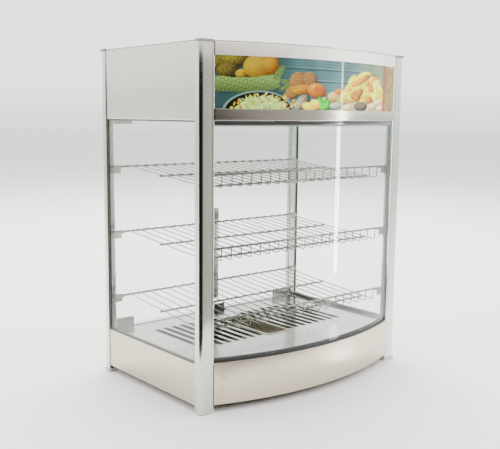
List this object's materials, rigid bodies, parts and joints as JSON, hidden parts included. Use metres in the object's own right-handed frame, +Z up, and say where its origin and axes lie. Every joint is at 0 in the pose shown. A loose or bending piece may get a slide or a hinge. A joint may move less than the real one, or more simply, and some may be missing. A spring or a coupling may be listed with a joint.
{
  "type": "hot food display case",
  "caption": "Countertop heated display case with a bowed glass front, sloping wire shelves, a lit picture header, a water pan and two swing doors at the rear.",
  "frame": {"origin": "centre of the outer box in plan, at the underside of the feet", "axes": "+Z up, +Y to the rear where the doors are, +X to the right seen from the front"},
  "size_m": [0.654, 0.482, 0.8],
  "materials": {
    "brushed_steel": "brushed stainless steel sheet",
    "bright_steel": "bright stainless steel sheet",
    "aluminium": "polished aluminium extrusion",
    "chrome": "bright chromed wire",
    "clear_glass": "clear tempered glass",
    "lamp_glass": "frosted lamp glass",
    "picture": "printed picture behind clear acrylic",
    "grey_plastic": "moulded grey plastic",
    "black_plastic": "moulded black plastic",
    "red_plastic": "translucent red rocker",
    "green_plastic": "translucent green rocker",
    "dark_steel": "oxidised steel heater tube"
  },
  "bodies": {
    "case": {"post_front_left": "aluminium", "foot_front_left": "grey_plastic", "post_cap_front_left": "grey_plastic", "post_front_right": "aluminium", "foot_front_right": "grey_plastic", "post_cap_front_right": "grey_plastic", "post_rear_left": "aluminium", "foot_rear_left": "grey_plastic", "post_cap_rear_left": "grey_plastic", "post_rear_right": "aluminium", "foot_rear_right": "grey_plastic", "post_cap_rear_right": "grey_plastic", "base_front_panel": "brushed_steel", "base_left_panel": "brushed_steel", "base_right_panel": "brushed_steel", "base_rear_panel": "brushed_steel", "base_bottom_plate": "brushed_steel", "header_left_panel": "brushed_steel", "header_right_panel": "brushed_steel", "roof_panel": "brushed_steel", "header_top_rail": "brushed_steel", "floor_plate": "bright_steel", "ceiling_panel": "bright_steel", "header_bottom_rail": "bright_steel", "heating_element": "dark_steel", "lamp_tube": "lamp_glass", "graphic_panel": "picture", "front_glass": "clear_glass", "left_glass": "clear_glass", "right_glass": "clear_glass", "bottom_shelf_clip_front_left": "bright_steel", "bottom_shelf_clip_front_right": "bright_steel", "bottom_shelf_clip_rear_left": "bright_steel", "bottom_shelf_clip_rear_right": "bright_steel", "middle_shelf_clip_front_left": "bright_steel", "middle_shelf_clip_front_right": "bright_steel", "middle_shelf_clip_rear_left": "bright_steel", "middle_shelf_clip_rear_right": "bright_steel", "top_shelf_clip_front_left": "bright_steel", "top_shelf_clip_front_right": "bright_steel", "top_shelf_clip_rear_left": "bright_steel", "top_shelf_clip_rear_right": "bright_steel", "door_catch": "black_plastic", "switch_housing": "black_plastic", "cable_gland": "black_plastic"},
    "left_door": {"left_door_glass": "clear_glass", "left_door_handle": "aluminium", "left_door_top_clamp": "bright_steel", "left_door_bottom_clamp": "bright_steel"},
    "right_door": {"right_door_glass": "clear_glass", "right_door_handle": "aluminium", "right_door_top_clamp": "bright_steel", "right_door_bottom_clamp": "bright_steel"},
    "top_shelf": {"top_shelf": "chrome"},
    "middle_shelf": {"middle_shelf": "chrome"},
    "bottom_shelf": {"bottom_shelf": "chrome"},
    "water_pan": {"water_pan": "bright_steel"},
    "thermostat_knob": {"thermostat_knob": "black_plastic"},
    "heater_switch_rocker": {"heater_switch_rocker": "red_plastic"},
    "light_switch_rocker": {"light_switch_rocker": "green_plastic"}
  },
  "joints": [
    {"name": "left_door_hinge", "type": "hinge", "parent": "case", "child": "left_door", "pos_m": [-0.288, 0.2105, 0.375], "axis": [0, 0, 1], "range_deg": [0, 100]},
    {"name": "right_door_hinge", "type": "hinge", "parent": "case", "child": "right_door", "pos_m": [0.288, 0.2105, 0.375], "axis": [0, 0, -1], "range_deg": [0, 100]},
    {"name": "thermostat_turn", "type": "hinge", "parent": "case", "child": "thermostat_knob", "pos_m": [0.12, 0.224, 0.06], "axis": [0, -1, 0], "range_deg": [0, 300]},
    {"name": "heater_switch_rock", "type": "hinge", "parent": "case", "child": "heater_switch_rocker", "pos_m": [0.193, 0.2105, 0.06], "axis": [1, 0, 0], "range_deg": [0, 16]},
    {"name": "light_switch_rock", "type": "hinge", "parent": "case", "child": "light_switch_rocker", "pos_m": [0.217, 0.2105, 0.06], "axis": [1, 0, 0], "range_deg": [0, 16]},
    {"name": "top_shelf_lift", "type": "slide", "parent": "case", "child": "top_shelf", "axis": [0, 0, 1], "range_m": [0, 0.06]},
    {"name": "middle_shelf_lift", "type": "slide", "parent": "case", "child": "middle_shelf", "axis": [0, 0, 1], "range_m": [0, 0.06]},
    {"name": "bottom_shelf_lift", "type": "slide", "parent": "case", "child": "bottom_shelf", "axis": [0, 0, 1], "range_m": [0, 0.06]},
    {"name": "water_pan_lift", "type": "slide", "parent": "case", "child": "water_pan", "axis": [0, 0, 1], "range_m": [0, 0.045]}
  ]
}
